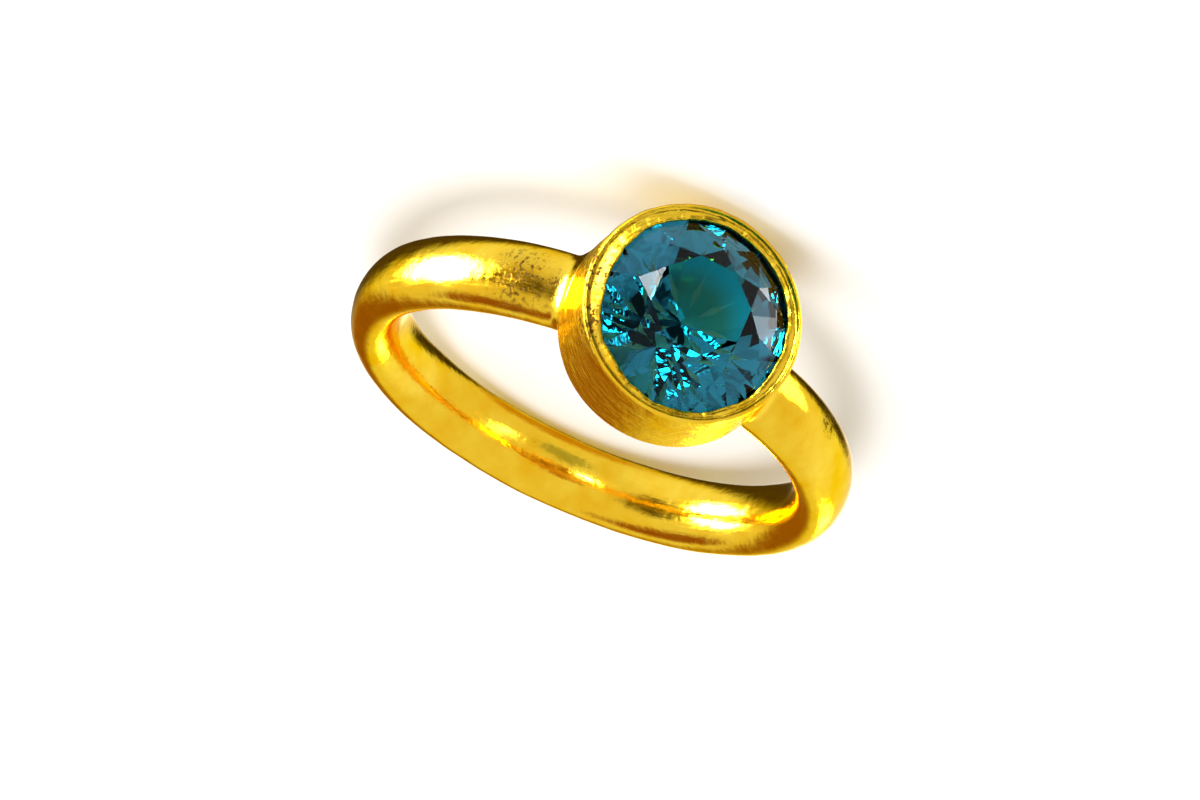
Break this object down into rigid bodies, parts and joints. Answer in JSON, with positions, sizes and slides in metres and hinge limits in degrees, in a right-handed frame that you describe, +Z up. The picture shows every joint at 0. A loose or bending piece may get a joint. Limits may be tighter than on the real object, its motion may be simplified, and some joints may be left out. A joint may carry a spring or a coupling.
{
  "type": "stackable ring",
  "caption": "Yellow gold stackable finger ring: a heavy oval wire band with a round blue-green faceted stone in a plain bezel.",
  "frame": {"origin": "middle of the footprint of the ring lying on its side, at the height of the surface it lies on", "axes": "-Y is the way the stone faces, tipped up by the tilt at which the ring rests; +Z is up, near the finger hole's axis; +X is across the ring"},
  "size_m": [0.0216, 0.0248, 0.0092],
  "materials": {
    "gold": "burnished satin yellow gold",
    "stone": "polished, transparent blue-green"
  },
  "bodies": {
    "root": {"band_and_bezel": "gold", "stone": "stone"}
  },
  "joints": []
}
